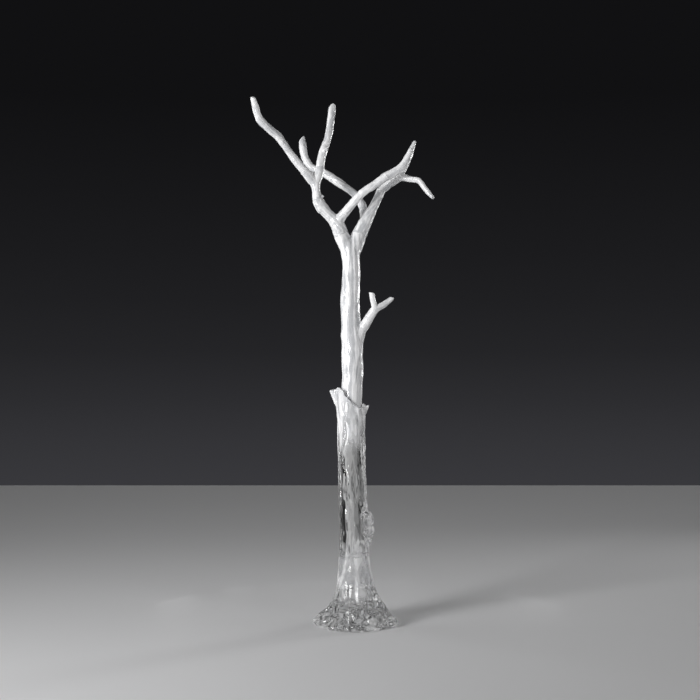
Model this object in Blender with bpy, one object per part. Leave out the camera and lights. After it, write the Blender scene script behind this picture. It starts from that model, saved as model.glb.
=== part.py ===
"""A tall bare-tree sculpture cast in clear resin, in sections, standing on its own root flare.

Metres, +Z up. The origin is the centre of the flat underside of the root flare. The front of the
sculpture faces -Y. The upper tree stands in a socket in the collar of the lower trunk and lifts out.
Every branch is a casting that meets its neighbour at a flat seam with a clear dowel through it.
"""

from collections import namedtuple
from math import cos, pi, radians, sin

import bmesh
import bpy
from mathutils import Vector

# Heights of the trunk sections, one above the other
FLARE_HEIGHT = 0.234
LOWER_TRUNK_HEIGHT = 0.501
UPPER_TRUNK_HEIGHT = 0.528

# Root flare
ROOT_REACH = 0.154
ROOT_VALLEY_REACH = 0.108

# Trunks
LOWER_TRUNK_RADIUS = 0.0500
UPPER_TRUNK_RADIUS = 0.0370
COLLAR_WALL = 0.0095
BURL_RADIUS = 0.026
SNAG_RADIUS = 0.025
RIM_SPLINTER_RADIUS = 0.017

# Joint between the root flare and the lower trunk
FLARE_SPIGOT_RADIUS = 0.032
FLARE_SPIGOT_LENGTH = 0.110

# Socket in the collar, which the upper tree lifts out of
COLLAR_BORE_DEPTH = 0.025
TREE_SPIGOT_RADIUS = 0.026
TREE_SPIGOT_LENGTH = 0.095
SEAT_RING_THICKNESS = 0.003
SEAT_RING_WIDTH = 0.007

# Limbs: the radius where each leaves its parent, and the straight distance from seam to seam
LIMB_RADIUS = 0.0250
SIDE_TWIG_RADIUS = 0.0155
BRANCH_RADIUS = 0.0155
BACK_BRANCH_RADIUS = 0.0150
RIGHT_TWIG_RADIUS = 0.0110
LEFT_LIMB_REACH = 0.142
LEFT_CROTCH_REACH = 0.052
FAR_LEFT_REACH = 0.305
UPRIGHT_REACH = 0.239
FRONT_BRANCH_REACH = 0.182
FRONT_TIP_REACH = 0.132
RIGHT_LIMB_REACH = 0.164
RIGHT_CROTCH_REACH = 0.207
RIGHT_TWIG_REACH = 0.128
BACK_BRANCH_REACH = 0.188
BACK_TIP_REACH = 0.194
SIDE_TWIG_REACH = 0.038

# Dowels through the seams
FORK_DOWEL_RADIUS = 0.0080
FORK_DOWEL_LENGTH = 0.056
BRANCH_DOWEL_RADIUS = 0.0050
BRANCH_DOWEL_LENGTH = 0.036
TWIG_DOWEL_RADIUS = 0.0038
TWIG_DOWEL_LENGTH = 0.026

# Fits
SEAM_GAP = 0.0003
BOND_CLEARANCE = 0.0003
LIFT_CLEARANCE = 0.0010

# Facets round each section
FLARE_SIDES = 56
TRUNK_SIDES = 22
LIMB_SIDES = 14
TWIG_SIDES = 12
DOWEL_SIDES = 16

UP = Vector((0, 0, 1))
CLEAR = (0.80, 0.81, 0.83, 0.05)
MILKY = (0.90, 0.91, 0.93, 0.12)
SILICONE = (0.86, 0.87, 0.88, 0.30)

# Where one casting ends and the next begins: the middle of the flat, its normal and its radius
Seam = namedtuple("Seam", "middle normal radius")
# A place on a limb: its middle and the limb's radius there
Place = namedtuple("Place", "middle radius")


def clear_scene():
    for thing in list(bpy.data.objects):
        bpy.data.objects.remove(thing, do_unlink=True)


def resin(name, tint):
    """A clear or milky casting resin; the last value of the tint is its roughness."""
    material = bpy.data.materials.new(name)
    material.use_nodes = True
    shader = material.node_tree.nodes["Principled BSDF"]
    shader.inputs["Base Color"].default_value = (*tint[:3], 1)
    shader.inputs["Roughness"].default_value = tint[3]
    shader.inputs["Metallic"].default_value = 0
    shader.inputs["Transmission Weight"].default_value = 1
    shader.inputs["IOR"].default_value = 1.49
    return material


def add_object(name, mesh_data, tint):
    solid = bpy.data.objects.new(name, mesh_data)
    mesh_data.materials.append(resin(name, tint))
    bpy.context.scene.collection.objects.link(solid)
    return solid


def make_helper(helper):
    helper.hide_render = True
    helper.display_type = "WIRE"
    return helper


def combine(solid, other, operation):
    """Joins a helper shape to a casting, or cuts it out of one."""
    boolean = solid.modifiers.new(other.name, "BOOLEAN")
    boolean.operation = operation
    boolean.solver = "EXACT"
    boolean.object = make_helper(other)


def loft(name, rings, tint):
    """A closed solid through rings of points, each ring with the same number of points."""
    shape = bmesh.new()
    loops = [[shape.verts.new(point) for point in ring] for ring in rings]
    count = len(loops[0])
    for low, high in zip(loops, loops[1:]):
        for i in range(count):
            j = (i + 1) % count
            shape.faces.new((low[i], low[j], high[j], high[i]))
    shape.faces.new(reversed(loops[0]))
    shape.faces.new(loops[-1])
    bmesh.ops.recalc_face_normals(shape, faces=shape.faces)
    mesh_data = bpy.data.meshes.new(name)
    shape.to_mesh(mesh_data)
    shape.free()
    mesh_data.shade_smooth()
    mesh_data.set_sharp_from_angle(angle=radians(50))
    return add_object(name, mesh_data, tint)


def smooth_places(places, steps):
    """The same limb with places added between on a Catmull-Rom curve."""
    found = []
    last = len(places) - 1
    for i in range(last):
        around = [places[max(i - 1, 0)], places[i], places[i + 1], places[min(i + 2, last)]]
        for step in range(steps):
            t = step / steps
            weights = (
                (-t + 2 * t**2 - t**3) / 2,
                (2 - 5 * t**2 + 3 * t**3) / 2,
                (t + 4 * t**2 - 3 * t**3) / 2,
                (-(t**2) + t**3) / 2,
            )
            middle = sum((w * p.middle for w, p in zip(weights, around)), Vector())
            radius = sum(w * p.radius for w, p in zip(weights, around))
            found.append(Place(middle, radius))
    return found + [places[last]]


def limb_rings(places, sides, first=None, last=None):
    """Rings square to the limb, and the end rings square to first and last where these are given."""
    tangents = []
    for i in range(len(places)):
        before = places[max(i - 1, 0)].middle
        after = places[min(i + 1, len(places) - 1)].middle
        tangents.append((after - before).normalized())
    tangents[0] = first or tangents[0]
    tangents[-1] = last or tangents[-1]
    side = tangents[0].orthogonal().normalized()
    rings = []
    for place, along in zip(places, tangents):
        side = (side - side.dot(along) * along).normalized()
        across = along.cross(side)
        turns = [2 * pi * k / sides for k in range(sides)]
        rings.append([place.middle + place.radius * (cos(a) * side + sin(a) * across) for a in turns])
    return rings


def limb(name, places, sides, tint, first=None, last=None, steps=2):
    square_end = last or end_seam(places).normal
    rings = limb_rings(smooth_places(places, steps), sides, first, square_end)
    return loft(name, rings, tint)


def grow(seam, reach, route):
    """The places of a limb from a seam. Each point of the route is an offset from the seam and a
    share of the seam's radius, and the whole route is stretched so that it ends at the reach."""
    stretch = reach / Vector(route[-1][:3]).length
    start = seam.middle + SEAM_GAP * seam.normal
    places = [Place(start, seam.radius)]
    for x, y, z, share in route:
        places.append(Place(start + stretch * Vector((x, y, z)), share * seam.radius))
    return places


def boss(places, index, route, radius):
    """A stub that leaves a limb at one of its places and ends in a seam of the given radius."""
    root = places[index]
    inward = 0.2 * root.radius * Vector(route[0][:3]).normalized()
    stub = [Place(root.middle - inward, 0.9 * root.radius)]
    for x, y, z, share in route:
        stub.append(Place(root.middle + Vector((x, y, z)), share * radius))
    return stub


def end_seam(places):
    normal = (places[-1].middle - places[-2].middle).normalized()
    return Seam(places[-1].middle, normal, places[-1].radius)


def pin_between(name, start, end, radius, sides, tint):
    """A plain round pin with flat ends."""
    rings = limb_rings([Place(start, radius), Place(end, radius)], sides)
    return loft(name, rings, tint)


def dowel(name, seam, radius, length, castings):
    """A clear dowel across a seam, and its hole in the castings on both sides."""
    half = length / 2 * seam.normal
    spare = BOND_CLEARANCE * seam.normal
    middle = seam.middle + SEAM_GAP / 2 * seam.normal
    pin_between(name, middle - half, middle + half, radius, DOWEL_SIDES, CLEAR)
    for casting in castings:
        hole = pin_between(
            f"{name}_hole_in_{casting.name}",
            middle - half - spare,
            middle + half + spare,
            radius + BOND_CLEARANCE,
            DOWEL_SIDES,
            CLEAR,
        )
        combine(casting, hole, "DIFFERENCE")


def upright_pin(name, centre, low, high, radius, sides, tint):
    start = Vector((centre.x, centre.y, low))
    end = Vector((centre.x, centre.y, high))
    return pin_between(name, start, end, radius, sides, tint)


def make_root_flare():
    """The foot: a spreading fluted flare with eight roots, flat underneath, and a blind socket."""
    # Each root's direction, its share of the reach, and how steeply it drops from the trunk
    roots = [(-18, 1.00, 1.00), (-54, 0.90, 1.00), (-88, 0.84, 1.00), (-124, 0.88, 1.15)]
    roots += [(-180, 0.94, 1.50), (-218, 0.90, 1.20), (-262, 0.86, 1.00), (-314, 0.92, 1.00)]
    half_width = radians(22)
    profile = [
        (0.00, 0.96),
        (0.05, 1.00),
        (0.14, 0.80),
        (0.24, 0.60),
        (0.34, 0.42),
        (0.46, 0.25),
        (0.60, 0.13),
        (0.78, 0.06),
        (1.00, 0.00),
    ]
    rings = []
    for height, spread in profile:
        ring = []
        for k in range(FLARE_SIDES):
            angle = 2 * pi * k / FLARE_SIDES
            gaps = [abs((angle - radians(root[0]) + pi) % (2 * pi) - pi) for root in roots]
            away = min(gaps)
            _, share, steepness = roots[gaps.index(away)]
            ridge = max(cos(min(away / half_width, 1) * pi / 2), 0) ** 0.8
            reach = ROOT_VALLEY_REACH + (share * ROOT_REACH - ROOT_VALLEY_REACH) * ridge
            drop = spread ** (1 + (steepness - 1) * ridge)
            radius = FLARE_TOP.radius + (reach - FLARE_TOP.radius) * drop
            middle = height * FLARE_TOP.middle
            ring.append(middle + radius * Vector((cos(angle), sin(angle), 0)))
        rings.append(ring)
    flare = loft("root_flare", rings, CLEAR)
    socket = upright_pin(
        "flare_socket",
        FLARE_TOP.middle,
        FLARE_TOP.middle.z - FLARE_SPIGOT_LENGTH - BOND_CLEARANCE,
        FLARE_TOP.middle.z + BOND_CLEARANCE,
        FLARE_SPIGOT_RADIUS + BOND_CLEARANCE,
        TRUNK_SIDES,
        CLEAR,
    )
    combine(flare, socket, "DIFFERENCE")


def lower_trunk_places():
    """The lower trunk leans a little to the left as it rises and swells again at the collar."""
    route = [(0, 0, 0, 1.04), (-2, 0, 85, 1.0), (-4, 0, 187, 0.95), (-7, 0, 290, 0.93)]
    route += [(-9, 0, 390, 0.925), (-10, 0, 450, 0.935), (-10, 0, 501, 0.95)]
    stretch = LOWER_TRUNK_HEIGHT / route[-1][2]
    start = FLARE_TOP.middle + SEAM_GAP * UP
    places = []
    for x, y, z, share in route:
        offset = Vector((x / 1000, y / 1000, z * stretch))
        places.append(Place(start + offset, share * LOWER_TRUNK_RADIUS))
    places[0] = Place(places[0].middle, FLARE_TOP.radius)
    places[-1] = Place(places[-1].middle, UPPER_TRUNK_RADIUS + LIFT_CLEARANCE + COLLAR_WALL)
    return places


def add_burl(trunk, places):
    """A lumpy burl low on the right of the lower trunk."""
    root = places[1].middle
    lumps = [(46, -8, 0, 0.98), (44, -16, 24, 0.76), (42, -4, -32, 0.80), (36, -20, 40, 0.62)]
    for number, (x, y, z, share) in enumerate(lumps, 1):
        lump = bmesh.new()
        bmesh.ops.create_icosphere(lump, subdivisions=2, radius=share * BURL_RADIUS)
        bmesh.ops.translate(lump, verts=lump.verts, vec=root + Vector((x, y, z)) / 1000)
        mesh_data = bpy.data.meshes.new(f"burl_lump_{number}")
        lump.to_mesh(mesh_data)
        lump.free()
        combine(trunk, add_object(f"burl_lump_{number}", mesh_data, CLEAR), "UNION")


def make_lower_trunk(places):
    """The clear lower trunk with its burl, its broken snag and rim splinter, and the socket."""
    trunk = limb("lower_trunk", places, TRUNK_SIDES, CLEAR, UP, UP)
    add_burl(trunk, places)
    rim = places[-1].middle
    snag = [Place(rim + Vector((-0.007, 0, -0.019)), 1.05 * SNAG_RADIUS)]
    snag.append(Place(rim + Vector((-0.034, 0, 0.025)), SNAG_RADIUS))
    snag.append(Place(rim + Vector((-0.051, 0, 0.061)), 0.90 * SNAG_RADIUS))
    snag_top = Vector((-0.2, 0, 1)).normalized()
    combine(trunk, limb("broken_snag", snag, LIMB_SIDES, CLEAR, None, snag_top), "UNION")
    splinter = [Place(rim + Vector((0.018, 0, -0.043)), 1.3 * RIM_SPLINTER_RADIUS)]
    splinter.append(Place(rim + Vector((0.038, -0.002, -0.006)), 0.90 * RIM_SPLINTER_RADIUS))
    splinter.append(Place(rim + Vector((0.047, -0.003, 0.008)), 0.55 * RIM_SPLINTER_RADIUS))
    combine(trunk, limb("rim_splinter", splinter, TWIG_SIDES, CLEAR), "UNION")
    back = [Place(rim + Vector((-0.004, 0.012, -0.030)), 1.4 * RIM_SPLINTER_RADIUS)]
    back.append(Place(rim + Vector((-0.006, 0.036, 0.004)), 0.75 * RIM_SPLINTER_RADIUS))
    back.append(Place(rim + Vector((-0.008, 0.046, 0.024)), 0.40 * RIM_SPLINTER_RADIUS))
    combine(trunk, limb("back_splinter", back, TWIG_SIDES, CLEAR), "UNION")
    seat = rim.z - COLLAR_BORE_DEPTH
    bore = upright_pin(
        "collar_bore", rim, seat, rim.z + 0.2, UPPER_TRUNK_RADIUS + LIFT_CLEARANCE, TRUNK_SIDES, CLEAR
    )
    combine(trunk, bore, "DIFFERENCE")
    socket = upright_pin(
        "tree_socket",
        rim,
        seat - TREE_SPIGOT_LENGTH,
        seat + COLLAR_BORE_DEPTH / 2,
        TREE_SPIGOT_RADIUS + LIFT_CLEARANCE,
        TRUNK_SIDES,
        CLEAR,
    )
    combine(trunk, socket, "DIFFERENCE")
    foot = places[0].middle
    spigot = upright_pin(
        "flare_spigot",
        foot,
        foot.z - SEAM_GAP - FLARE_SPIGOT_LENGTH,
        foot.z + FLARE_SPIGOT_RADIUS,
        FLARE_SPIGOT_RADIUS,
        TRUNK_SIDES,
        CLEAR,
    )
    combine(trunk, spigot, "UNION")


def make_seat_ring(rim):
    """A soft clear ring on the seat in the collar, which the shoulder of the upper trunk rests on."""
    low = rim.z - COLLAR_BORE_DEPTH + SEAM_GAP
    inner = TREE_SPIGOT_RADIUS + LIFT_CLEARANCE
    ring = upright_pin(
        "seat_ring", rim, low, low + SEAT_RING_THICKNESS, inner + SEAT_RING_WIDTH, 2 * TRUNK_SIDES, SILICONE
    )
    hole = upright_pin(
        "seat_ring_hole",
        rim,
        low - SEAT_RING_THICKNESS,
        low + 2 * SEAT_RING_THICKNESS,
        inner,
        2 * TRUNK_SIDES,
        SILICONE,
    )
    combine(ring, hole, "DIFFERENCE")


def upper_trunk_places(rim):
    """Straight where it stands in the collar, then slowly wandering up to the fork."""
    shoulder = rim + (SEAT_RING_THICKNESS + 2 * SEAM_GAP - COLLAR_BORE_DEPTH) * UP
    route = [(0, 0, 12, 0.99), (2, 0, 60, 0.97), (4, 0, 110, 0.97), (4, 0, 190, 0.97), (1, 0, 262, 0.96)]
    route += [(-5, 0, 348, 0.88), (-2, 0, 409, 0.87), (0, 0, 473, 0.81), (-2, 0, 505, 0.84)]
    route += [(-1, 0, 528, 0.95)]
    stretch = UPPER_TRUNK_HEIGHT / route[-1][2]
    places = [Place(shoulder, UPPER_TRUNK_RADIUS)]
    for x, y, z, share in route:
        offset = Vector((x / 1000, y / 1000, z * stretch + SEAM_GAP))
        places.append(Place(rim + offset, share * UPPER_TRUNK_RADIUS))
    return places


def make_upper_trunk(places):
    """The milky upper trunk: a spigot below, a boss for the side twig, and two stubs at the fork."""
    trunk = limb("upper_trunk", places, TRUNK_SIDES, MILKY, UP, UP)
    shoulder = places[0].middle
    spigot = upright_pin(
        "tree_spigot",
        shoulder,
        shoulder.z - TREE_SPIGOT_LENGTH,
        shoulder.z + TREE_SPIGOT_RADIUS,
        TREE_SPIGOT_RADIUS,
        TRUNK_SIDES,
        MILKY,
    )
    combine(trunk, spigot, "UNION")
    out = UPPER_TRUNK_RADIUS + SIDE_TWIG_RADIUS
    twig_route = [(0.51 * out, -0.008, 0.068, 1.25), (0.80 * out, -0.012, 0.088, 1.1)]
    twig_route += [(1.07 * out, -0.017, 0.112, 1.0)]
    twig_stub = boss(places, 4, twig_route, SIDE_TWIG_RADIUS)
    twig_seam = end_seam(twig_stub)
    combine(trunk, limb("side_twig_boss", twig_stub, LIMB_SIDES, MILKY), "UNION")
    seams = []
    for side, route in (
        ("left", [(-0.020, -0.003, 0.030, 1.1), (-0.034, -0.005, 0.060, 1.0)]),
        ("right", [(0.017, 0.003, 0.031, 1.1), (0.029, 0.005, 0.061, 1.0)]),
    ):
        stub_places = boss(places, -1, route, LIMB_RADIUS)
        seams.append(end_seam(stub_places))
        combine(trunk, limb(f"{side}_fork_stub", stub_places, LIMB_SIDES, MILKY), "UNION")
    return trunk, twig_seam, seams[0], seams[1]


def make_side_twig(seam):
    """The short forked twig half way up the upper trunk."""
    stem = grow(seam, SIDE_TWIG_REACH, [(11, -4, 17, 0.96), (22, -8, 31, 0.88)])
    twig = limb("side_twig", stem, TWIG_SIDES, MILKY, seam.normal)
    fork = stem[-1]
    left = [Place(stem[-2].middle, 0.7 * fork.radius)]
    left.append(Place(fork.middle, 0.9 * fork.radius))
    left.append(Place(fork.middle + Vector((-0.008, -0.005, 0.026)), 0.70 * fork.radius))
    left.append(Place(fork.middle + Vector((-0.014, -0.010, 0.066)), 0.66 * fork.radius))
    right = [Place(stem[-2].middle, 0.7 * fork.radius)]
    right.append(Place(fork.middle, 0.95 * fork.radius))
    right.append(Place(fork.middle + Vector((0.030, 0.005, 0.016)), 0.80 * fork.radius))
    right.append(Place(fork.middle + Vector((0.062, 0.012, 0.042)), 0.60 * fork.radius))
    combine(twig, limb("side_twig_left_prong", left, TWIG_SIDES, MILKY), "UNION")
    combine(twig, limb("side_twig_right_prong", right, TWIG_SIDES, MILKY), "UNION")
    return twig


def make_left_limb(seam):
    """The thick left limb from the fork to the knuckle, with a boss for the front branch."""
    route = [(-12, -5, 33, 0.97), (-34, -7, 57, 0.80), (-54, -10, 77, 0.75), (-73, -15, 100, 0.81)]
    route += [(-79, -15, 117, 0.68)]
    places = grow(seam, LEFT_LIMB_REACH, route)
    casting = limb("left_limb", places, LIMB_SIDES, MILKY, seam.normal)
    stub = boss(places, 1, [(0.014, -0.008, 0.024, 1.1), (0.027, -0.015, 0.038, 1.0)], BRANCH_RADIUS)
    front = end_seam(stub)
    combine(casting, limb("front_branch_boss", stub, LIMB_SIDES, MILKY), "UNION")
    return casting, end_seam(places), front


def make_left_crotch(seam):
    """The casting above the knuckle, which parts into the far left and the upright branch."""
    stem = grow(seam, LEFT_CROTCH_REACH, [(-4, 0, 24, 0.84), (-7, 0, 51, 0.98)])
    casting = limb("left_crotch", stem, LIMB_SIDES, MILKY, seam.normal)
    seams = []
    for side, route in (
        ("left", [(-0.014, -0.005, 0.014, 1.0), (-0.036, -0.010, 0.041, 0.95)]),
        ("right", [(0.010, 0.003, 0.024, 1.0), (0.017, 0.009, 0.056, 0.96)]),
    ):
        stub = boss(stem, -1, route, BRANCH_RADIUS)
        seams.append(end_seam(stub))
        combine(casting, limb(f"crotch_{side}_arm", stub, LIMB_SIDES, MILKY), "UNION")
    return casting, seams[0], seams[1]


def make_right_limb(seam):
    """The right limb from the fork, with a boss at the back for the back branch."""
    route = [(15, 5, 31, 0.95), (34, 10, 69, 0.75), (56, 10, 110, 0.62), (73, 10, 147, 0.60)]
    places = grow(seam, RIGHT_LIMB_REACH, route)
    casting = limb("right_limb", places, LIMB_SIDES, MILKY, seam.normal)
    stub = boss(places, 1, [(0.004, 0.014, 0.022, 1.1), (0.000, 0.032, 0.052, 1.0)], BACK_BRANCH_RADIUS)
    back = end_seam(stub)
    combine(casting, limb("back_branch_boss", stub, LIMB_SIDES, MILKY), "UNION")
    return casting, end_seam(places), back


def make_right_crotch(seam):
    """The bent end of the right limb: a long tip, and a boss for the drooping twig."""
    route = [(24, -3, 24, 1.10), (50, -10, 40, 1.20), (72, -12, 72, 1.0), (97, -5, 122, 0.86)]
    route += [(117, 5, 172, 0.34)]
    places = grow(seam, RIGHT_CROTCH_REACH, route)
    casting = limb("right_crotch", places, LIMB_SIDES, MILKY, seam.normal)
    stub = boss(places, 2, [(0.022, -0.010, 0.004, 1.15), (0.040, -0.020, -0.001, 1.0)], RIGHT_TWIG_RADIUS)
    twig = end_seam(stub)
    combine(casting, limb("right_twig_boss", stub, LIMB_SIDES, MILKY), "UNION")
    return casting, twig


def make_branch(name, seam, reach, route):
    """A plain branch with no fork of its own."""
    places = grow(seam, reach, route)
    return limb(name, places, LIMB_SIDES, MILKY, seam.normal), end_seam(places)


def build():
    clear_scene()
    make_root_flare()
    trunk_places = lower_trunk_places()
    make_lower_trunk(trunk_places)
    rim = trunk_places[-1].middle
    make_seat_ring(rim)
    upper_trunk, side_seam, left_seam, right_seam = make_upper_trunk(upper_trunk_places(rim))
    side_twig = make_side_twig(side_seam)
    left_limb, knuckle, front_seam = make_left_limb(left_seam)
    left_crotch, far_left_seam, upright_seam = make_left_crotch(knuckle)
    right_limb, right_crotch_seam, back_seam = make_right_limb(right_seam)
    right_crotch, right_twig_seam = make_right_crotch(right_crotch_seam)

    far_left_route = [(-30, -15, 33, 0.90), (-64, -35, 79, 0.86), (-86, -50, 108, 0.93)]
    far_left_route += [(-120, -65, 134, 0.92), (-145, -75, 160, 0.88), (-157, -85, 197, 0.78)]
    far_left_route += [(-167, -95, 233, 0.56)]
    far_left, _ = make_branch("far_left_branch", far_left_seam, FAR_LEFT_REACH, far_left_route)

    upright_route = [(4, 10, 39, 0.94), (23, 30, 100, 0.90), (34, 45, 157, 0.88)]
    upright_route += [(38, 55, 207, 0.90), (40, 60, 229, 0.62)]
    upright, _ = make_branch("upright_branch", upright_seam, UPRIGHT_REACH, upright_route)

    front_route = [(24, -10, 28, 0.93), (54, -20, 58, 0.88), (91, -25, 83, 0.86), (130, -29, 110, 0.90)]
    front, front_tip_seam = make_branch("front_branch", front_seam, FRONT_BRANCH_REACH, front_route)
    front_tip_route = [(28, 0, 15, 0.96), (52, 0, 32, 0.94), (73, 0, 62, 0.84), (86, 0, 103, 0.50)]
    front_tip, _ = make_branch("front_branch_tip", front_tip_seam, FRONT_TIP_REACH, front_tip_route)

    right_twig_route = [(20, -15, -6, 0.88), (37, -25, -11, 0.92), (50, -35, -30, 0.80)]
    right_twig_route += [(67, -45, -54, 0.72), (86, -55, -76, 0.52)]
    right_twig, _ = make_branch("right_twig", right_twig_seam, RIGHT_TWIG_REACH, right_twig_route)

    back_route = [(-9, 20, 30, 0.93), (-28, 35, 58, 0.90), (-63, 60, 88, 0.90), (-112, 85, 125, 0.98)]
    back, back_tip_seam = make_branch("back_branch", back_seam, BACK_BRANCH_REACH, back_route)
    back_tip_route = [(-39, 15, 25, 0.93), (-72, 25, 40, 0.95), (-90, 30, 71, 0.90)]
    back_tip_route += [(-98, 40, 115, 0.88), (-101, 45, 149, 0.74)]
    back_tip, _ = make_branch("back_branch_tip", back_tip_seam, BACK_TIP_REACH, back_tip_route)

    fork = (FORK_DOWEL_RADIUS, FORK_DOWEL_LENGTH)
    branch = (BRANCH_DOWEL_RADIUS, BRANCH_DOWEL_LENGTH)
    twig = (TWIG_DOWEL_RADIUS, TWIG_DOWEL_LENGTH)
    dowel("left_limb_dowel", left_seam, *fork, [upper_trunk, left_limb])
    dowel("right_limb_dowel", right_seam, *fork, [upper_trunk, right_limb])
    dowel("side_twig_dowel", side_seam, *branch, [upper_trunk, side_twig])
    dowel("left_crotch_dowel", knuckle, *branch, [left_limb, left_crotch])
    dowel("far_left_dowel", far_left_seam, *branch, [left_crotch, far_left])
    dowel("upright_dowel", upright_seam, *branch, [left_crotch, upright])
    dowel("front_branch_dowel", front_seam, *branch, [left_limb, front])
    dowel("front_tip_dowel", front_tip_seam, *branch, [front, front_tip])
    dowel("right_crotch_dowel", right_crotch_seam, *branch, [right_limb, right_crotch])
    dowel("right_twig_dowel", right_twig_seam, *twig, [right_crotch, right_twig])
    dowel("back_branch_dowel", back_seam, *branch, [right_limb, back])
    dowel("back_tip_dowel", back_tip_seam, *branch, [back, back_tip])


FLARE_TOP = Seam(Vector((-0.003, 0, FLARE_HEIGHT)), UP, 1.04 * LOWER_TRUNK_RADIUS)

build()
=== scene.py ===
"""The looks of a tall bare-tree sculpture, cast in clear and milky resin and set up in a plain studio.

Metres, +Z up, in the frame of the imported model. Each casting is carved from its own solid: the solid is
turned into a fine even skin, the run of its grain is found from how the skin curves, and bark is raised
along that grain. The castings are finished from the foot up, then the inner pieces, then the studio.
"""

from itertools import product
from math import cos, radians, sin

import bmesh
import bpy
import numpy as np
from mathutils import Matrix, Quaternion, Vector
from mathutils.bvhtree import BVHTree


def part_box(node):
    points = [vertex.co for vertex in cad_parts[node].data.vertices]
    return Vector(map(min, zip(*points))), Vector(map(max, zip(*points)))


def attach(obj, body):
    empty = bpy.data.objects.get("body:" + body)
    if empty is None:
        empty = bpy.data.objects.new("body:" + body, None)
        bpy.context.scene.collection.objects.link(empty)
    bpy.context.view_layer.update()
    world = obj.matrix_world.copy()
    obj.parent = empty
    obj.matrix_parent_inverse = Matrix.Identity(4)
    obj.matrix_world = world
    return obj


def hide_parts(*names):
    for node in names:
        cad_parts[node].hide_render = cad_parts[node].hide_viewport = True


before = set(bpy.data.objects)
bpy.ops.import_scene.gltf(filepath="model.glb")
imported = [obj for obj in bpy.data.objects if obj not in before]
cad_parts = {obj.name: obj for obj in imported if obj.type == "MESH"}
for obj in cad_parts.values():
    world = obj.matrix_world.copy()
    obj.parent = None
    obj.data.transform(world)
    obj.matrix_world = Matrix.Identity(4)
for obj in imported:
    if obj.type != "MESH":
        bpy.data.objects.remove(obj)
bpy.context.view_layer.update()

# ---------------------------------------------------------------------------------------------------
# Root flare. The spreading foot, cast solid in clear resin in a mould taken from a real stump, so its
# flutes and toes carry the wood's long ridges and chips. It is polished, and stands on its flat underside.
# ---------------------------------------------------------------------------------------------------
SPIGOT_REACH = 0.036
TRUNK_GRAIN = 3


def noise(points, size, seed):
    """Smooth noise from -1 to 1, in lumps of the given size."""
    cells = points / size + 311.7 + 13.37 * seed
    corner_low = np.floor(cells).astype(np.int64)
    part = cells - corner_low
    part = part * part * (3 - 2 * part)
    total = np.zeros(len(points))
    for corner in product((0, 1), repeat=3):
        x, y, z = (corner_low + corner).T
        mixed = (x * 73856093) ^ (y * 19349663) ^ (z * 83492791) ^ (seed * 2654435761)
        mixed = (mixed ^ (mixed >> 13)) * 1274126177 & 0xFFFFFFFF
        mixed = (mixed ^ (mixed >> 16)) & 0xFFFF
        weight = np.prod(np.where(corner, part, 1 - part), axis=1)
        total += weight * (mixed / 32767.5 - 1)
    return total


def dimples(points, size, seed):
    """The distance to the nearest of scattered points, as a share of their spacing: hollows with sharp rims."""
    cells = points / size + 173.3 + 7.91 * seed
    corner_low = np.floor(cells).astype(np.int64)
    nearest = np.full(len(points), 9.0)
    for corner in product((-1, 0, 1), repeat=3):
        cell = corner_low + corner
        x, y, z = cell.T
        mixed = (x * 73856093) ^ (y * 19349663) ^ (z * 83492791) ^ (seed * 2654435761)
        apart = np.zeros(len(points))
        for axis in range(3):
            mixed = (mixed ^ (mixed >> 13)) * 1274126177 & 0xFFFFFFFF
            mixed = mixed ^ (mixed >> 16)
            apart += (cells[:, axis] - cell[:, axis] - (mixed & 0xFFFF) / 65535) ** 2
        nearest = np.minimum(nearest, apart)
    return np.sqrt(nearest)


def meridian_ridges(points, width, seed):
    """Long ridges that run up the trunk and out along the roots, and pass unbroken from casting to casting."""
    x, y, z = points.T
    angle = np.arctan2(y, x + 0.008) + 0.30 * noise(points * (1, 1, 0.6), 0.055, seed)
    ring = 0.05 * np.stack([np.cos(angle), np.sin(angle), 3.0 * z], axis=1)
    return noise(ring, width, seed + 1) / 0.35


def add_growth(shape, start, start_radius, end, end_radius):
    """Adds a round-ended tapering lump: a nub, a burr, or the fillet in a crotch."""
    start, end = Vector(start), Vector(end)
    stations = 2 + int((end - start).length / (0.6 * min(start_radius, end_radius)))
    for step in range(stations):
        share = step / (stations - 1)
        radius = start_radius + (end_radius - start_radius) * share
        made = bmesh.ops.create_icosphere(shape, subdivisions=2, radius=radius)
        bmesh.ops.translate(shape, verts=made["verts"], vec=start.lerp(end, share))


def chip_tip(shape, along, random):
    """Breaks the end of a branch to a blunt splinter, with three flat cuts across it."""
    along = Vector(along).normalized()
    tip = max((vert.co.copy() for vert in shape.verts), key=along.dot)
    for turn in (0.3, 2.4, 4.5):
        side = along.orthogonal().normalized()
        side.rotate(Quaternion(along, turn + random.uniform(-0.5, 0.5)))
        lean = random.uniform(0.7, 1.3)
        facing = (along + lean * side).normalized()
        through = tip - random.uniform(0.001, 0.004) * along
        cut = bmesh.ops.bisect_plane(
            shape,
            geom=shape.verts[:] + shape.edges[:] + shape.faces[:],
            plane_co=through,
            plane_no=facing,
            clear_outer=True,
        )
        rim = [edge for edge in cut["geom_cut"] if isinstance(edge, bmesh.types.BMEdge)]
        bmesh.ops.holes_fill(shape, edges=rim)


def seam_plug(node, other):
    """The two ends and the radius of the disc where two castings are bonded, read from the solids."""
    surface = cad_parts[other].data
    tree = BVHTree.FromPolygons([v.co for v in surface.vertices], [tuple(f.vertices) for f in surface.polygons])
    own = [v.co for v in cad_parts[node].data.vertices]
    rim = np.array([co for co in own if tree.find_nearest(co, 0.0006)[0] is not None])
    middle = rim.mean(axis=0)
    across = np.linalg.svd(rim - middle, full_matrices=False)[2][2]
    radius = np.linalg.norm(rim - middle, axis=1).max()
    return middle - 0.0025 * across, middle + 0.0025 * across, radius


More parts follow.
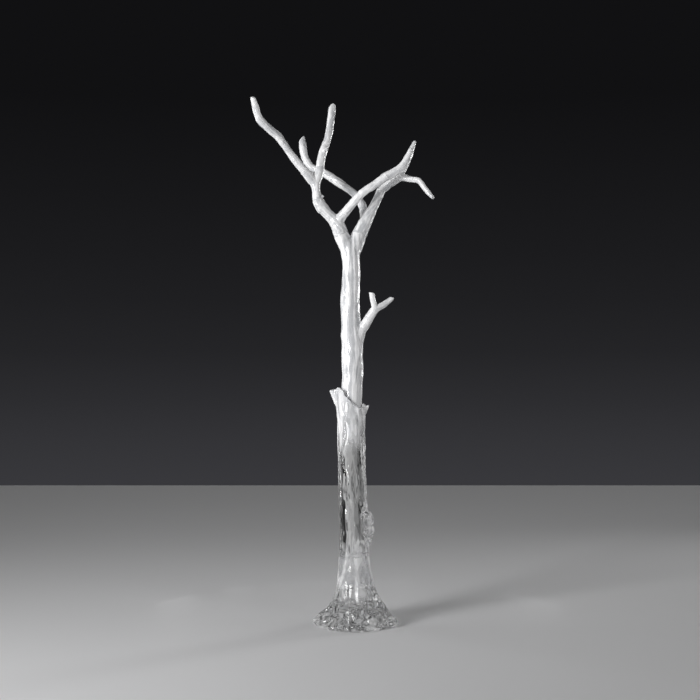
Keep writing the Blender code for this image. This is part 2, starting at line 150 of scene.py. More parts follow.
def lap_seam(shape, other, shift):
    """Moves a bonded flat end along Z, so that the two castings lap there by a hair and show no groove."""
    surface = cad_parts[other].data
    tree = BVHTree.FromPolygons([v.co for v in surface.vertices], [tuple(f.vertices) for f in surface.polygons])
    for vert in shape.verts:
        off_axis = Vector((vert.co.x + 0.003, vert.co.y)).length
        if off_axis > SPIGOT_REACH and tree.find_nearest(vert.co, 0.0006)[0] is not None:
            vert.co.z += shift


def fine_skin(name, node, size, growths, plugged, tip, lapped, rim, random):
    """A new object with the CAD node's surface as a fine even mesh of quads."""
    source = node.data.copy()
    shape = bmesh.new()
    shape.from_mesh(source)
    bmesh.ops.remove_doubles(shape, verts=shape.verts, dist=1e-6)
    if lapped:
        lap_seam(shape, *lapped)
    if tip:
        chip_tip(shape, tip, random)
    if rim:
        rim(shape, random)
    for growth in growths:
        add_growth(shape, *growth)
    for other in plugged:
        low, high, radius = seam_plug(node.name, other)
        made = bmesh.ops.create_cone(
            shape, cap_ends=True, segments=40, radius1=radius + 0.0001, radius2=radius + 0.0001, depth=0.007
        )
        turn = Vector(high - low).to_track_quat("Z", "Y").to_matrix().to_4x4()
        bmesh.ops.transform(shape, matrix=Matrix.Translation((low + high) / 2) @ turn, verts=made["verts"])
    shape.to_mesh(source)
    shape.free()
    skin = bpy.data.objects.new(name, source)
    bpy.context.scene.collection.objects.link(skin)
    remesh = skin.modifiers.new("even_skin", "REMESH")
    remesh.mode = "VOXEL"
    remesh.voxel_size = size
    graph = bpy.context.evaluated_depsgraph_get()
    even = bpy.data.meshes.new_from_object(skin.evaluated_get(graph))
    skin.modifiers.clear()
    skin.data = even
    skin.data.name = name
    skin.data.materials.clear()
    bpy.data.meshes.remove(source)
    return skin


class Skin:
    """The points, normals and links of a fine mesh, as arrays."""

    def __init__(self, mesh):
        self.mesh = mesh
        count = len(mesh.vertices)
        self.count = count
        self.points = np.empty(count * 3)
        mesh.vertices.foreach_get("co", self.points)
        self.points = self.points.reshape(-1, 3)
        edges = np.empty(len(mesh.edges) * 2, np.int32)
        mesh.edges.foreach_get("vertices", edges)
        corners = np.array([list(face.vertices)[:4] for face in mesh.polygons if len(face.vertices) == 4])
        diagonals = np.concatenate([corners[:, [0, 2]], corners[:, [1, 3]]])
        self.links = np.concatenate([edges.reshape(-1, 2), diagonals])
        ends = self.links.reshape(-1)
        self.link_count = np.bincount(ends, minlength=count)
        self.normals = self.read_normals()

    def read_normals(self):
        normals = np.empty(self.count * 3, np.float32)
        self.mesh.vertex_normals.foreach_get("vector", normals)
        return normals.reshape(-1, 3).astype(float)

    def spread(self, values, times):
        """Values averaged with their neighbours', so many times over."""
        if values.ndim == 2:
            return np.stack([self.spread(column, times) for column in values.T], axis=1)
        start, end = self.links.T
        for _ in range(times):
            total = np.bincount(start, values[end], self.count) + np.bincount(end, values[start], self.count)
            values = (values + total / self.link_count) / 2
        return values

    def write(self, points):
        self.points = points
        self.mesh.vertices.foreach_set("co", points.reshape(-1))
        self.mesh.update()
        self.normals = self.read_normals()

    def grain(self, reach):
        """The direction that the skin doesn't curve along: up a trunk, and out along a branch."""
        pairs = [(0, 0), (1, 1), (2, 2), (0, 1), (0, 2), (1, 2)]
        spread = self.spread(np.stack([self.normals[:, i] * self.normals[:, j] for i, j in pairs], 1), reach)
        tensor = np.empty((self.count, 3, 3))
        for column, (i, j) in enumerate(pairs):
            tensor[:, i, j] = tensor[:, j, i] = spread[:, column]
        along = np.linalg.eigh(tensor)[1][:, :, 0]
        middle = self.points - self.points.mean(axis=0)
        main = np.linalg.svd(middle[:: max(self.count // 4000, 1)], full_matrices=False)[2][0]
        along *= np.sign(along @ main + 1e-9)[:, None]
        along -= (along * self.normals).sum(1)[:, None] * self.normals
        return along / (np.linalg.norm(along, axis=1)[:, None] + 1e-9)

    def drawn_out(self, values, along, doublings, random):
        """Values averaged along the grain, over two to the power of the doublings steps each way."""
        start = np.concatenate([self.links[:, 0], self.links[:, 1]])
        end = np.concatenate([self.links[:, 1], self.links[:, 0]])
        step = self.points[end] - self.points[start]
        lean = (step * along[start]).sum(1) / (np.linalg.norm(step, axis=1) + 1e-12)
        total = np.zeros(self.count)
        for way in (1, -1):
            score = way * lean + random.uniform(-0.08, 0.08, len(lean))
            order = np.lexsort((score, start))
            last = np.append(start[order][1:] != start[order][:-1], True)
            following = np.arange(self.count)
            following[start[order][last]] = end[order][last]
            summed = values.copy()
            for _ in range(doublings):
                summed = summed + summed[following]
                following = following[following]
            total += summed / 2**doublings
        return total / 2


def nearness(skin, others, reach):
    """1 where the skin lies against another casting, and 0 elsewhere."""
    near_share = np.zeros(skin.count)
    for other in others:
        low, high = (np.array(corner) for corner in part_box(other))
        inside = ((skin.points > low - reach) & (skin.points < high + reach)).all(axis=1)
        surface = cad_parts[other].data
        faces = [tuple(face.vertices) for face in surface.polygons]
        tree = BVHTree.FromPolygons([v.co for v in surface.vertices], faces)
        for index in np.flatnonzero(inside):
            if tree.find_nearest(Vector(skin.points[index]), reach)[0] is not None:
                near_share[index] = 1
    return near_share


def slenderness(skin, full):
    """From 0.2 on a hair-thin twig to 1 where the casting is at least the full thickness, for milder bark."""
    faces = [tuple(face.vertices) for face in skin.mesh.polygons]
    tree = BVHTree.FromPolygons(skin.points.tolist(), faces)
    thickness = np.full(skin.count, full)
    for index in range(skin.count):
        inward = Vector(-skin.normals[index])
        hit = tree.ray_cast(Vector(skin.points[index]) + 0.0005 * inward, inward, full)
        if hit[3] is not None:
            thickness[index] = hit[3]
    return skin.spread(np.clip(thickness / full, 0.2, 1), 12)


def unit(values):
    return (values - values.mean()) / (values.std() + 1e-9)


def add_field(mesh, name, values):
    field = mesh.attributes.new(name, "FLOAT", "POINT")
    field.data.foreach_set("value", values.astype(np.float32))


def carve(node, body, slot, material, size, ridges, lumps, facets, seed, **more):
    """A casting with bark raised along its grain, standing for a CAD node and riding on its body.

    ridges, lumps and facets are each a width and a height. more holds the castings it meets (against), the
    ones whose seams it covers (plugged), the cement of its bonded faces, its nubs and its broken tip.
    """
    random = np.random.default_rng(seed)
    piece = fine_skin(
        f"{node}_casting",
        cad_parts[node],
        size,
        more.get("growths", ()),
        more.get("plugged", ()),
        more.get("tip"),
        more.get("lapped"),
        more.get("rim"),
        random,
    )
    skin = Skin(piece.data)
    touching = nearness(skin, more.get("against", ()), 0.0007)
    touching = np.maximum(touching, nearness(skin, more.get("sliding", ()), 0.0022))
    free = skin.spread(1 - touching, more.get("fade", 1)) * (1 - touching)
    softened = skin.spread(skin.points, more.get("softening", 4))
    skin.write(skin.points + free[:, None] * (softened - skin.points))
    if "knit" in more:
        place, reach = more["knit"]
        share = free * np.exp(-(((skin.points[:, 2] - place) / reach) ** 2))
        skin.write(skin.points + share[:, None] * (skin.spread(skin.points, 60) - skin.points))
    if "meridians" in more:
        broad = meridian_ridges(skin.points, ridges[0], more["meridians"])
        fine = meridian_ridges(skin.points, ridges[0] * 0.4, more["meridians"] + 2)
    else:
        along = skin.grain(60)
        sway = 0.35 * noise(skin.points, 0.045, seed + 5)
        along = along + sway[:, None] * np.cross(skin.normals, along)
        along /= np.linalg.norm(along, axis=1)[:, None] + 1e-9
        broad = skin.drawn_out(noise(skin.points, ridges[0], seed), along, 5, random)
        broad = unit(skin.spread(broad, 3))
        fine = skin.drawn_out(noise(skin.points, ridges[0] * 0.45, seed + 1), along, 4, random)
        fine = unit(skin.spread(fine, 1))
    swell = noise(skin.points, lumps[0], seed + 2) + 0.5 * noise(skin.points, lumps[0] / 2, seed + 3)
    hollow = dimples(skin.points * (1, 1, more.get("facet_squeeze", 1)), facets[0], seed + 4) - 0.5
    patch = np.clip(0.5 + 1.5 * noise(skin.points, 2.5 * facets[0], seed + 6), 0, 1)
    if "facets_below" in more:
        patch = np.clip((more["facets_below"] - skin.points[:, 2]) / 0.04, 0, 1)
    height = ridges[1] * (np.tanh(broad) + more.get("fineness", 0.4) * np.tanh(fine)) + lumps[1] * swell
    height = height + facets[1] * patch * hollow
    if "full_thickness" in more:
        height = height * slenderness(skin, more["full_thickness"])
    if "calm_below" in more:
        height = height * np.clip((skin.points[:, 2] - more["calm_below"]) / 0.05, 0, 1)
    if "extra" in more:
        height = height + more["extra"](skin.points)
    skin.write(skin.points + (free * height)[:, None] * skin.normals)
    settled = skin.spread(skin.points, more.get("polishing", 1))
    settled = skin.points + free[:, None] * (settled - skin.points)
    settled[:, 2] = np.maximum(settled[:, 2], 0)
    skin.write(settled)
    add_field(piece.data, "streak", 0.5 + 0.25 * np.clip(broad, -2, 2))
    add_field(piece.data, "thread", 0.5 + 0.25 * np.clip(fine, -2, 2))
    piece.data.materials.append(material)
    if "cement" in more:
        bonded = nearness(skin, more["bonded"], 0.0022) > 0.5
        piece.data.materials.append(more["cement"])
        for face in piece.data.polygons:
            deep = Vector((face.center.x + 0.003, face.center.y)).length < SPIGOT_REACH
            level = abs(face.normal.z) > 0.4
            if (deep or level) and all(bonded[vertex] for vertex in face.vertices):
                face.material_index = 1
    if "hazes" in more:
        cloud_over(piece.data, more["hazes"], more["haze_at"])
    piece.data.shade_smooth()
    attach(piece, body)
    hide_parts(node)


def cloud_over(mesh, hazes, haze_at):
    """Gives the clear faces the hazier resins, where the haze is from 0, clear, to 1, the last of them."""
    count = len(mesh.polygons)
    centres = np.empty(count * 3)
    mesh.polygons.foreach_get("center", centres)
    level = np.clip(haze_at(centres.reshape(-1, 3)) * (len(hazes) + 1), 0, len(hazes)).astype(int)
    index = np.empty(count, np.int32)
    mesh.polygons.foreach_get("material_index", index)
    first = len(mesh.materials) - 1
    for resin_haze in hazes:
        mesh.materials.append(resin_haze)
    index[(index == 0) & (level > 0)] = (first + level)[(index == 0) & (level > 0)]
    mesh.polygons.foreach_set("material_index", index)


def add_node(tree, kind, links=None, **settings):
    """A shader node. links maps its inputs, by name or number, to sockets, and settings fill the rest."""
    node = tree.nodes.new(kind)
    for key, value in settings.items():
        if key.startswith("in_"):
            name = key[3:].replace("_", " ")
            node.inputs[int(name) if name.isdigit() else name].default_value = value
        else:
            setattr(node, key, value)
    for target, socket in (links or {}).items():
        tree.links.new(socket, node.inputs[target])
    return node


def make_cloud_group():
    """Cloudiness and polish of cast resin: tone and haze that follow the wood grain, and fine relief."""
    group = bpy.data.node_groups.new("cast_resin_surface", "ShaderNodeTree")
    for socket, kind in (
        ("Clear Tone", "NodeSocketColor"),
        ("Cloud Tone", "NodeSocketColor"),
        ("Cloud Amount", "NodeSocketFloat"),
        ("Polish", "NodeSocketFloat"),
        ("Haze", "NodeSocketFloat"),
        ("Pit Depth", "NodeSocketFloat"),
    ):
        group.interface.new_socket(socket, in_out="INPUT", socket_type=kind)
    for socket, kind in (
        ("Color", "NodeSocketColor"),
        ("Roughness", "NodeSocketFloat"),
        ("Height", "NodeSocketFloat"),
    ):
        group.interface.new_socket(socket, in_out="OUTPUT", socket_type=kind)
    inputs = add_node(group, "NodeGroupInput").outputs
    place = add_node(group, "ShaderNodeTexCoord").outputs["Object"]
    streak = add_node(group, "ShaderNodeAttribute", attribute_name="streak").outputs["Fac"]
    thread = add_node(group, "ShaderNodeAttribute", attribute_name="thread").outputs["Fac"]
    drift = add_node(group, "ShaderNodeTexNoise", {"Vector": place}, in_Scale=26.0, in_Detail=4.0)
    streaked = add_node(
        group, "ShaderNodeMath", {0: streak, 2: drift.outputs["Fac"]}, operation="MULTIPLY_ADD", in_1=0.6
    )
    veined = add_node(
        group, "ShaderNodeMath", {0: thread, 2: streaked.outputs[0]}, operation="MULTIPLY_ADD", in_1=0.3
    )
    cloud = add_node(
        group,
        "ShaderNodeMapRange",
        {"Value": veined.outputs[0]},
        interpolation_type="SMOOTHSTEP",
        in_From_Min=0.62,
        in_From_Max=1.12,
    )
    amount = add_node(
        group, "ShaderNodeMath", {0: cloud.outputs[0], 1: inputs["Cloud Amount"]}, operation="MULTIPLY"
    )
    tone = add_node(
        group,
        "ShaderNodeMix",
        {"Factor": amount.outputs[0], 6: inputs["Clear Tone"], 7: inputs["Cloud Tone"]},
        data_type="RGBA",
    )
    haze = add_node(
        group,
        "ShaderNodeMath",
        {0: amount.outputs[0], 1: inputs["Haze"], 2: inputs["Polish"]},
        operation="MULTIPLY_ADD",
    )
    pits = add_node(group, "ShaderNodeTexNoise", {"Vector": place}, in_Scale=420.0, in_Detail=2.0)
    relief = add_node(
        group, "ShaderNodeMath", {0: pits.outputs["Fac"], 1: inputs["Pit Depth"]}, operation="MULTIPLY"
    )
    outputs = add_node(group, "NodeGroupOutput").inputs
    group.links.new(tone.outputs[2], outputs["Color"])
    group.links.new(haze.outputs[0], outputs["Roughness"])
    group.links.new(relief.outputs[0], outputs["Height"])
    return group


cloud_group = make_cloud_group()


def resin(name, clear_tone, cloud_tone, cloud, polish, haze, pit_depth, transmission, **more):
    """A casting resin: clear where transmission is 1 and milky where it is less."""
    material = bpy.data.materials.new(name)
    material.use_nodes = True
    tree = material.node_tree
    shader = tree.nodes["Principled BSDF"]
    surface = add_node(tree, "ShaderNodeGroup", node_tree=cloud_group)
    surface.inputs["Clear Tone"].default_value = (*clear_tone, 1)
    surface.inputs["Cloud Tone"].default_value = (*cloud_tone, 1)
    surface.inputs["Cloud Amount"].default_value = cloud
    surface.inputs["Polish"].default_value = polish
    surface.inputs["Haze"].default_value = haze
    surface.inputs["Pit Depth"].default_value = pit_depth
    bump = add_node(tree, "ShaderNodeBump", {"Height": surface.outputs["Height"]}, in_Distance=0.0003)
    tree.links.new(surface.outputs["Color"], shader.inputs["Base Color"])
    tree.links.new(surface.outputs["Roughness"], shader.inputs["Roughness"])
    tree.links.new(bump.outputs["Normal"], shader.inputs["Normal"])
    shader.inputs["Metallic"].default_value = 0
    shader.inputs["IOR"].default_value = more.get("ior", 1.49)
    shader.inputs["Transmission Weight"].default_value = transmission
    shader.inputs["Coat Weight"].default_value = more.get("coat", 0)
    shader.inputs["Coat Roughness"].default_value = 0.04
    shader.inputs["Subsurface Weight"].default_value = more.get("depth", 0)
    shader.inputs["Subsurface Scale"].default_value = 0.01
    return material


HAZES = [
    resin(f"haze_{number}", (0.80, 0.81, 0.83), (0.97, 0.97, 0.98), 1.0, 0.06, 0.10, 0.2, clear)
    for number, clear in enumerate((0.94, 0.85, 0.72, 0.56, 0.38, 0.20))
]


def flare_haze(points):
    """Milky wisps that follow the flutes, thickest on the smooth neck of the flare."""
    z = points[:, 2]
    neck = np.interp(z, (0.0, 0.07, 0.13, 0.234), (0.00, 0.05, 0.56, 0.62))
    wisps = 0.18 * np.tanh(meridian_ridges(points, 0.014, TRUNK_GRAIN)) + 0.26 * noise(points, 0.022, 71)
    return neck + wisps - 0.10


flare_resin = resin("flare_resin", (1, 1, 1), (0.95, 0.96, 0.97), 0.9, 0.0, 0.05, 0.0, 1.0)
cement = resin("clear_cement", (1, 1, 1), (1, 1, 1), 0.0, 0.0, 0.0, 0.0, 1.0, ior=1.0)
ARCH_TOP = Vector((0.000, -0.060, 0.168))
ARCH_HEIGHT = 0.090
ARCH_HALF_WIDTH = 0.014
ARCH_DEPTH = 0.008


def arch(points):
    """The narrow arch between the two front roots, as a hollow in the flare's skin."""
    x, y, z = points.T
    down = np.clip((ARCH_TOP.z - z) / ARCH_HEIGHT, 0, 1)
    inside = np.clip(1 - np.abs(x - ARCH_TOP.x) / (ARCH_HALF_WIDTH * down + 0.002), 0, 1)
    near = (y < 0) * (down > 0) * np.clip((z - 0.05) / 0.02, 0, 1)
    return -ARCH_DEPTH * near * inside**0.7


carve(
    "root_flare",
    "base",
    "clear_resin",
    flare_resin,
    0.0018,
    ridges=(0.014, 0.0026),
    lumps=(0.040, 0.0012),
    facets=(0.034, 0.0110),
    facet_squeeze=0.55,
    facets_below=0.11,
    seed=11,
    meridians=TRUNK_GRAIN,
    fineness=0.25,
    polishing=5,
    extra=arch,
    hazes=HAZES,
    haze_at=flare_haze,
    lapped=("lower_trunk", 0.0010),
    against=["lower_trunk"],
    bonded=["lower_trunk"],
    cement=cement,
)

# ---------------------------------------------------------------------------------------------------
# Lower trunk. A clear solid casting with deep flowing bark, a burl low on its right, and a broken snag
# and splinters round its collar. Its own spigot is bonded into the root flare.
# ---------------------------------------------------------------------------------------------------
COLLAR = Vector((-0.013, 0, 0.700))
COLLAR_INNER = 0.0396
COLLAR_OUTER = 0.0476
TORN_EDGE = (
    (0, 0.734),
    (20, 0.730),
    (45, 0.742),
    (70, 0.737),
    (95, 0.756),
    (112, 0.744),
    (130, 0.762),
    (150, 0.752),
    (172, 0.790),
    (200, 0.803),
    (222, 0.806),
    (236, 0.796),
    (246, 0.774),
    (262, 0.768),
    (280, 0.752),
    (300, 0.738),
    (316, 0.724),
    (340, 0.722),
    (360, 0.734),
)


def torn_rim(shape, random):
    """The collar's broken wall. It is tall and thick at the snag, and runs down across the front."""
    rings = []
    for turn in range(0, 360, 4):
        out = Vector((cos(radians(turn)), sin(radians(turn)), 0))
        top = float(np.interp(turn, *zip(*TORN_EDGE))) + random.uniform(-0.0025, 0.0025)
        rise = Vector((0, 0, top - COLLAR.z))
        lean = 0.16 * max(top - 0.74, 0)
        sides = ((COLLAR_INNER, 0), (COLLAR_OUTER, 0), (COLLAR_INNER + 0.0048 + lean, 1), (COLLAR_INNER + lean, 1))
        rings.append([shape.verts.new(COLLAR + reach * out + up * rise) for reach, up in sides])
    for ring, following in zip(rings, rings[1:] + rings[:1]):
        for side in range(4):
            ahead = (side + 1) % 4
            shape.faces.new((ring[side], following[side], following[ahead], ring[ahead]))


def trunk_haze(points):
    """The resin clouds over towards the collar, first at the front on the left, and round the burl."""
    x, y, z = points.T
    side = 0.050 * (x + 0.013) / 0.05
    high = np.interp(z - side, (0.560, 0.640, 0.725), (0.0, 0.60, 1.15))
    burl = np.exp(-(((points - (0.045, -0.022, 0.345)) / (0.022, 0.024, 0.050)) ** 2).sum(1))
    foot = np.interp(z, (0.234, 0.250, 0.290), (0.62, 0.45, 0.0))
    wisps = 0.26 * np.tanh(meridian_ridges(points, 0.014, TRUNK_GRAIN)) + 0.26 * noise(points * (1, 1, 0.3), 0.012, 73)
    return np.maximum(np.maximum(high, 0.70 * burl), foot) + wisps - 0.12


RIM_HORN = ((0.030, -0.006, 0.716), 0.009, (0.045, -0.008, 0.741), 0.003)
BURL = (
    ((0.026, -0.040, 0.372), 0.008, (0.046, -0.022, 0.378), 0.010),
    ((0.048, -0.018, 0.372), 0.010, (0.057, -0.012, 0.352), 0.007),
    ((0.056, -0.012, 0.350), 0.007, (0.048, -0.016, 0.318), 0.008),
    ((0.024, -0.040, 0.362), 0.007, (0.024, -0.040, 0.318), 0.006),
    ((0.028, -0.038, 0.312), 0.008, (0.044, -0.022, 0.300), 0.007),
)


clear_resin = resin("trunk_resin", (1, 1, 1), (0.95, 0.96, 0.97), 0.8, 0.0, 0.03, 0.0, 1.0)
carve(
    "lower_trunk",
    "base",
    "clear_resin",
    clear_resin,
    0.0018,
    ridges=(0.014, 0.0021),
    lumps=(0.040, 0.0008),
    facets=(0.026, 0.0030),
    facet_squeeze=0.4,
    seed=23,
    meridians=TRUNK_GRAIN,
    fineness=0.25,
    polishing=3,
    growths=[RIM_HORN, *BURL],
    rim=torn_rim,
    hazes=HAZES,
    haze_at=trunk_haze,
    lapped=("root_flare", -0.0010),
    softening=2,
    against=["root_flare"],
    sliding=["upper_trunk", "seat_ring"],
    bonded=["root_flare"],
    cement=cement,
)

# ---------------------------------------------------------------------------------------------------
# Upper trunk. Milky resin, solid, with softer bark. Its spigot stands in the collar of the lower trunk,
# and flat seams at its side boss and its two fork stubs take the dowelled castings above.
# ---------------------------------------------------------------------------------------------------
SPIGOT_CLEAR, SPIGOT_MILKY = 0.625, 0.705


def spigot_clearing(points):
    """The milky resin runs out to clear down the spigot, so that the foot of the spigot doesn't show."""
    return np.interp(points[:, 2], (SPIGOT_CLEAR, SPIGOT_MILKY), (1.15, -0.2)) + 0.2 * noise(points, 0.012, 77)


milky_resin = resin(
    "milky_casting", (0.62, 0.63, 0.65), (0.97, 0.97, 0.98), 1.0, 0.10, 0.12, 0.3, 0.1, coat=0.5
)
carve(
    "upper_trunk",
    "upper_tree",
    "milky_resin",
    milky_resin,
    0.0016,
    ridges=(0.012, 0.0007),
    lumps=(0.034, 0.0014),
    facets=(0.026, 0.0016),
    facet_squeeze=0.5,
    seed=37,
    meridians=TRUNK_GRAIN,
    softening=10,
    calm_below=0.76,
    knit=(1.265, 0.022),
    hazes=[*reversed(HAZES), clear_resin],
    haze_at=spigot_clearing,
    fade=8,
    against=["left_limb", "right_limb", "side_twig"],
    sliding=["lower_trunk", "seat_ring"],
    growths=[((0.010, 0.0, 1.270), 0.016, (0.018, 0.0, 1.281), 0.010)],
)

# ---------------------------------------------------------------------------------------------------
# Limbs, branches and twigs. Each is a solid milky casting with fine bark along it, knots and nubs where
# shoots broke off, and a splintered tip. It is bonded at flat seams, with a clear dowel through each.
# ---------------------------------------------------------------------------------------------------
LIMBS = {
    "side_twig": dict(against=["upper_trunk"], plugged=["upper_trunk"], tip=(0.8, 0, 0.6)),
    "left_limb": dict(
        against=["upper_trunk", "left_crotch", "front_branch"],
        plugged=["upper_trunk"],
        growths=[
            ((-0.116, -0.020, 1.404), 0.014, (-0.124, -0.022, 1.412), 0.012),
            ((-0.118, -0.024, 1.424), 0.017, (-0.130, -0.024, 1.430), 0.011),
        ],
    ),
    "left_crotch": dict(
        against=["left_limb", "far_left_branch", "upright_branch"],
        plugged=["left_limb"],
        growths=[
            ((-0.140, -0.020, 1.495), 0.010, (-0.146, -0.020, 1.526), 0.007),
            ((-0.168, -0.028, 1.520), 0.006, (-0.181, -0.030, 1.524), 0.0025),
            ((-0.118, -0.020, 1.448), 0.009, (-0.108, -0.024, 1.449), 0.004),
        ],
    ),
    "far_left_branch": dict(against=["left_crotch"], plugged=["left_crotch"], tip=(-0.3, 0, 1)),
    "upright_branch": dict(
        against=["left_crotch"],
        plugged=["left_crotch"],
        tip=(0.1, 0, 1),
        growths=[((-0.104, -0.008, 1.606), 0.007, (-0.094, -0.012, 1.614), 0.0035)],
    ),
    "front_branch": dict(
        against=["left_limb", "front_branch_tip"],
        plugged=["left_limb"],
        growths=[((0.086, -0.050, 1.508), 0.007, (0.093, -0.052, 1.520), 0.004)],
    ),
    "front_branch_tip": dict(against=["front_branch"], plugged=["front_branch"], tip=(0.5, 0, 1)),
    "right_limb": dict(against=["upper_trunk", "right_crotch", "back_branch"], plugged=["upper_trunk"]),
    "right_crotch": dict(against=["right_limb", "right_twig"], plugged=["right_limb"]),
    "right_twig": dict(against=["right_crotch"], plugged=["right_crotch"], tip=(0.7, 0, -0.7)),
    "back_branch": dict(against=["right_limb", "back_branch_tip"], plugged=["right_limb"]),
    "back_branch_tip": dict(against=["back_branch"], plugged=["back_branch"], tip=(0, 0, 1)),
}
for number, (node, details) in enumerate(LIMBS.items()):
    carve(
        node,
        "upper_tree",
        "milky_resin",
        milky_resin,
        0.0012,
        ridges=(0.007, 0.0007),
        lumps=(0.022, 0.0012),
        facets=(0.016, 0.0018),
        seed=51 + number,
        softening=5,
        polishing=2,
        fade=12,
        full_thickness=0.028,
        **details,
    )

# ---------------------------------------------------------------------------------------------------
# Dowels and seat ring. The dowels are turned clear rod, lightly sanded so that the bond takes. The seat
# ring is soft clear silicone, pressed flat by the weight of the upper tree.
# ---------------------------------------------------------------------------------------------------
dowel_resin = resin("dowel_rod", (0.95, 0.95, 0.96), (0.88, 0.89, 0.90), 0.5, 0.18, 0.10, 0.8, 0.9)
silicone = resin("seat_silicone", (0.98, 0.98, 0.98), (0.92, 0.93, 0.93), 0.6, 0.10, 0.12, 0.2, 0.95, ior=1.41)
for name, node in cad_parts.items():
    if name.endswith("_dowel") or name == "seat_ring":
        node.data.materials.clear()
        node.data.materials.append(silicone if name == "seat_ring" else dowel_resin)

# ---------------------------------------------------------------------------------------------------
# Studio. A pale floor that ends in front of a dark sweep, with a painted shadow and painted caustic light on
# it under the foot, a broad soft light from the left, a narrow one behind on the right, and a level camera.
# ---------------------------------------------------------------------------------------------------
EYE_HEIGHT = 0.93
EYE_DISTANCE = 4.2
EYE_SIDE = -0.017
LENS = 63.6


def plain_material(name, tone, roughness, **sockets):
    material = bpy.data.materials.new(name)
    material.use_nodes = True
    shader = material.node_tree.nodes["Principled BSDF"]
    shader.inputs["Base Color"].default_value = (*tone, 1)
    shader.inputs["Roughness"].default_value = roughness
    return material


def panel(name, corners, material):
    """A flat panel of the studio."""
    mesh = bpy.data.meshes.new(name)
    mesh.from_pydata(corners, [], [range(len(corners))])
    mesh.materials.append(material)
    sheet = bpy.data.objects.new(name, mesh)
    bpy.context.scene.collection.objects.link(sheet)
    return sheet


def soft_light(name, place, aim, width, height, power, spread=180):
    """A rectangular soft box that faces the point aim. A grid narrows its spread, in degrees."""
    light = bpy.data.lights.new(name, "AREA")
    light.shape = "RECTANGLE"
    light.size = width
    light.size_y = height
    light.energy = power
    light.spread = radians(spread)
    lamp = bpy.data.objects.new(name, light)
    lamp.location = place
    lamp.rotation_euler = (Vector(aim) - Vector(place)).to_track_quat("-Z", "Y").to_euler()
    bpy.context.scene.collection.objects.link(lamp)
    return lamp


# The floor under the foot is painted. Its colour falls to near black inside FOOT_RADIUS, a painted shadow of the foot,
# and noise patches there glow as painted caustic light.
FOOT_RADIUS = 0.135
floor_paint = plain_material("floor", (0.78, 0.78, 0.79), 0.7)
tree = floor_paint.node_tree
place = add_node(tree, "ShaderNodeTexCoord").outputs["Object"]
reach = add_node(tree, "ShaderNodeVectorMath", {0: place}, operation="LENGTH")
painted_shadow_disc = add_node(
    tree,
    "ShaderNodeMapRange",
    {"Value": reach.outputs["Value"]},
    in_From_Min=FOOT_RADIUS,
    in_From_Max=0.7 * FOOT_RADIUS,
)
# Noise for the painted caustic light: bright patches inside the painted shadow under the foot.
painted_caustic_noise = add_node(tree, "ShaderNodeTexNoise", {"Vector": place}, in_Scale=38.0, in_Detail=2.0, in_Distortion=1.2)
bright = add_node(
    tree,
    "ShaderNodeMapRange",
    {"Value": painted_caustic_noise.outputs["Fac"]},
    interpolation_type="SMOOTHSTEP",
    in_From_Min=0.50,
    in_From_Max=0.62,
)
painted_caustic_light = add_node(tree, "ShaderNodeMath", {0: painted_shadow_disc.outputs[0], 1: bright.outputs[0]}, operation="MULTIPLY")
shade = add_node(
    tree,
    "ShaderNodeMix",
    {"Factor": painted_shadow_disc.outputs[0]},
    data_type="RGBA",
    in_6=(0.78, 0.78, 0.79, 1),
    in_7=(0.04, 0.04, 0.04, 1),
)
shader = tree.nodes["Principled BSDF"]
# The painted shadow goes into the floor's base colour, and the painted caustic light into its emission.
tree.links.new(shade.outputs[2], shader.inputs["Base Color"])
tree.links.new(painted_caustic_light.outputs[0], shader.inputs["Emission Color"])
shader.inputs["Emission Strength"].default_value = 0.8
floor_paint.cycles.emission_sampling = "NONE"
FLOOR_REACH = 5.0
FLOOR_BACK = 4.3
FLOOR_LEVEL = -0.0005
floor_edge = [
    (FLOOR_REACH * cos(radians(turn)), min(FLOOR_REACH * sin(radians(turn)), FLOOR_BACK), FLOOR_LEVEL)
    for turn in range(0, 360, 3)
]
panel("floor", floor_edge, floor_paint)

AROUND = (
    (0.00, 0.02),
    (0.10, 0.20),
    (0.25, 0.05),
    (0.42, 0.20),
    (0.50, 1.20),
    (0.58, 1.00),
    (0.60, 0.00),
    (0.69, 0.00),
    (0.705, 0.30),
    (0.78, 0.36),
    (0.83, 0.30),
    (0.845, 0.00),
    (0.89, 0.00),
    (0.90, 1.50),
    (0.96, 1.20),
)


SWEEP = (
    (0.00, 0.040),
    (0.10, 0.034),
    (0.21, 0.026),
    (0.34, 0.018),
    (0.48, 0.0137),
    (0.61, 0.0110),
    (0.74, 0.0090),
    (0.87, 0.0072),
    (1.00, 0.0056),
)


def fill_ramp(ramp, stops, blue=1.0):
    """Sets a colour ramp's stops, each a position and a grey."""
    while len(ramp.elements) < len(stops):
        ramp.elements.new(0.5)
    for element, (position, grey) in zip(ramp.elements, stops):
        element.position = position
        element.color = (grey, grey, blue * grey, 1)


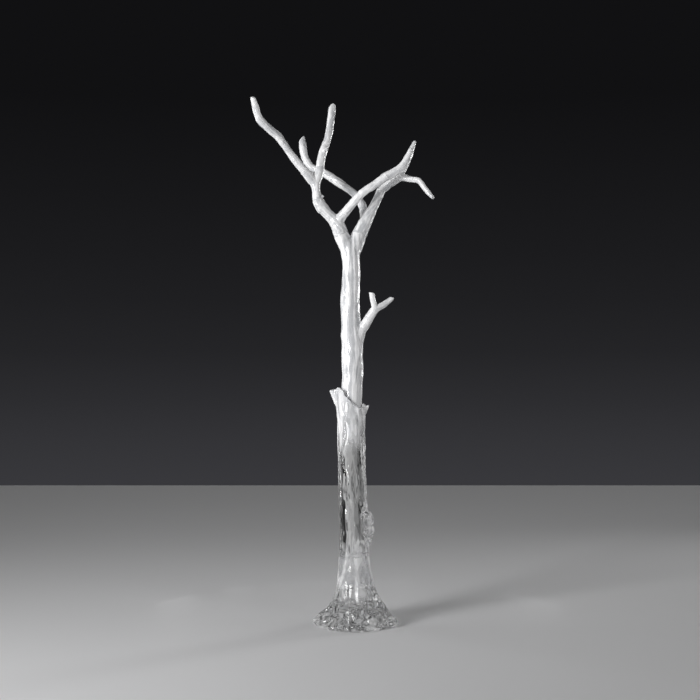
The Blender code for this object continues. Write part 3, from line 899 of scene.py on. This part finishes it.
world = bpy.data.worlds.new("studio")
bpy.context.scene.world = world
world.use_nodes = True
tree = world.node_tree
direction = add_node(tree, "ShaderNodeTexCoord").outputs["Generated"]
height = add_node(tree, "ShaderNodeSeparateXYZ", {0: direction}).outputs["Z"]
depth = add_node(tree, "ShaderNodeMapRange", {"Value": height}, in_From_Min=-0.104, in_From_Max=0.198)
sweep = add_node(tree, "ShaderNodeValToRGB", {0: depth.outputs[0]})
fill_ramp(sweep.color_ramp, SWEEP, 1.12)
turn = add_node(tree, "ShaderNodeTexGradient", {"Vector": direction}, gradient_type="RADIAL")
around = add_node(tree, "ShaderNodeValToRGB", {0: turn.outputs["Fac"]})
fill_ramp(around.color_ramp, AROUND)
rise = add_node(tree, "ShaderNodeValToRGB", {0: height})
fill_ramp(rise.color_ramp, ((0.0, 1.0), (0.25, 0.9), (0.6, 0.25)))
walls = add_node(
    tree,
    "ShaderNodeMix",
    {6: around.outputs[0], 7: rise.outputs[0]},
    data_type="RGBA",
    blend_type="MULTIPLY",
    in_Factor=1.0,
)
seen = add_node(tree, "ShaderNodeLightPath").outputs["Is Camera Ray"]
shown = add_node(
    tree, "ShaderNodeMix", {"Factor": seen, 6: walls.outputs[2], 7: sweep.outputs[0]}, data_type="RGBA"
)
tree.links.new(shown.outputs[2], tree.nodes["Background"].inputs["Color"])

soft_light("key_light", (-2.8, -2.6, 1.5), (0, 0, 1.0), 1.4, 2.4, 60, spread=110)
soft_light("fill_light", (2.8, -2.8, 1.3), (0, 0, 0.9), 1.2, 2.0, 10)
soft_light("rim_light", (3.0, 2.4, 1.5), (0, 0, 1.1), 0.7, 2.0, 7, spread=70)

CARD_DISTANCE = 0.8
CARD_FOLD = 0.11
CARD_TOP = 0.78
CARDS = (
    (-66, -50, 1.10, 0.90),
    (-50, -40, 0.00, 0.05),
    (-40, -30, 0.35, 0.55),
    (-30, -24, 0.00, 0.08),
    (-24, -14, 0.10, 0.38),
    (-14, -4, 0.20, 0.46),
    (-4, 9, 0.32, 0.50),
    (9, 19, 0.45, 0.50),
    (18, 45, 0.00, 0.12),
    (46, 54, 0.40, 0.60),
    (54, 70, 0.12, 0.90),
)


def card(name, start, end, low, high, grey, mirrored):
    """A standing reflector card, curved round the tree. It shows only in the resin, as cards out of view do."""
    columns = 4
    corners, faces = [], []
    for column in range(columns + 1):
        turn = radians(start + (end - start) * column / columns)
        x, y = CARD_DISTANCE * sin(turn), CARD_DISTANCE * cos(turn)
        corners += [(x, y, low), (x, y, high)]
        if column:
            faces.append((2 * column - 2, 2 * column, 2 * column + 1, 2 * column - 1))
    mesh = bpy.data.meshes.new(name)
    mesh.from_pydata(corners, [], faces)
    paint = bpy.data.materials.new(name)
    paint.use_nodes = True
    shader = paint.node_tree.nodes["Principled BSDF"]
    shader.inputs["Base Color"].default_value = (0, 0, 0, 1)
    shader.inputs["Specular IOR Level"].default_value = 0
    shader.inputs["Emission Color"].default_value = (grey, grey, grey, 1)
    shader.inputs["Emission Strength"].default_value = 1
    paint.cycles.emission_sampling = "NONE"
    mesh.materials.append(paint)
    standing = bpy.data.objects.new(name, mesh)
    bpy.context.scene.collection.objects.link(standing)
    standing.visible_camera = False
    standing.visible_diffuse = False
    standing.visible_shadow = False
    standing.visible_glossy = mirrored


for number, (start, end, upper, lower) in enumerate(CARDS):
    card(f"upper_card_{number}", start, end, CARD_FOLD, CARD_TOP, upper, True)
    card(f"lower_card_{number}", start, end, 0.0, CARD_FOLD, lower, True)
    card(f"front_card_{number}", start + 180, end + 180, 0.0, CARD_TOP, (upper + lower) / 2, False)

lens = bpy.data.cameras.new("camera")
lens.lens = LENS
lens.sensor_width = 36
lens.clip_end = 60
camera = bpy.data.objects.new("camera", lens)
camera.location = (EYE_SIDE, -EYE_DISTANCE, EYE_HEIGHT)
camera.rotation_euler = (radians(90), 0, 0)
bpy.context.scene.collection.objects.link(camera)
bpy.context.scene.camera = camera
bpy.context.scene.view_settings.view_transform = "Standard"
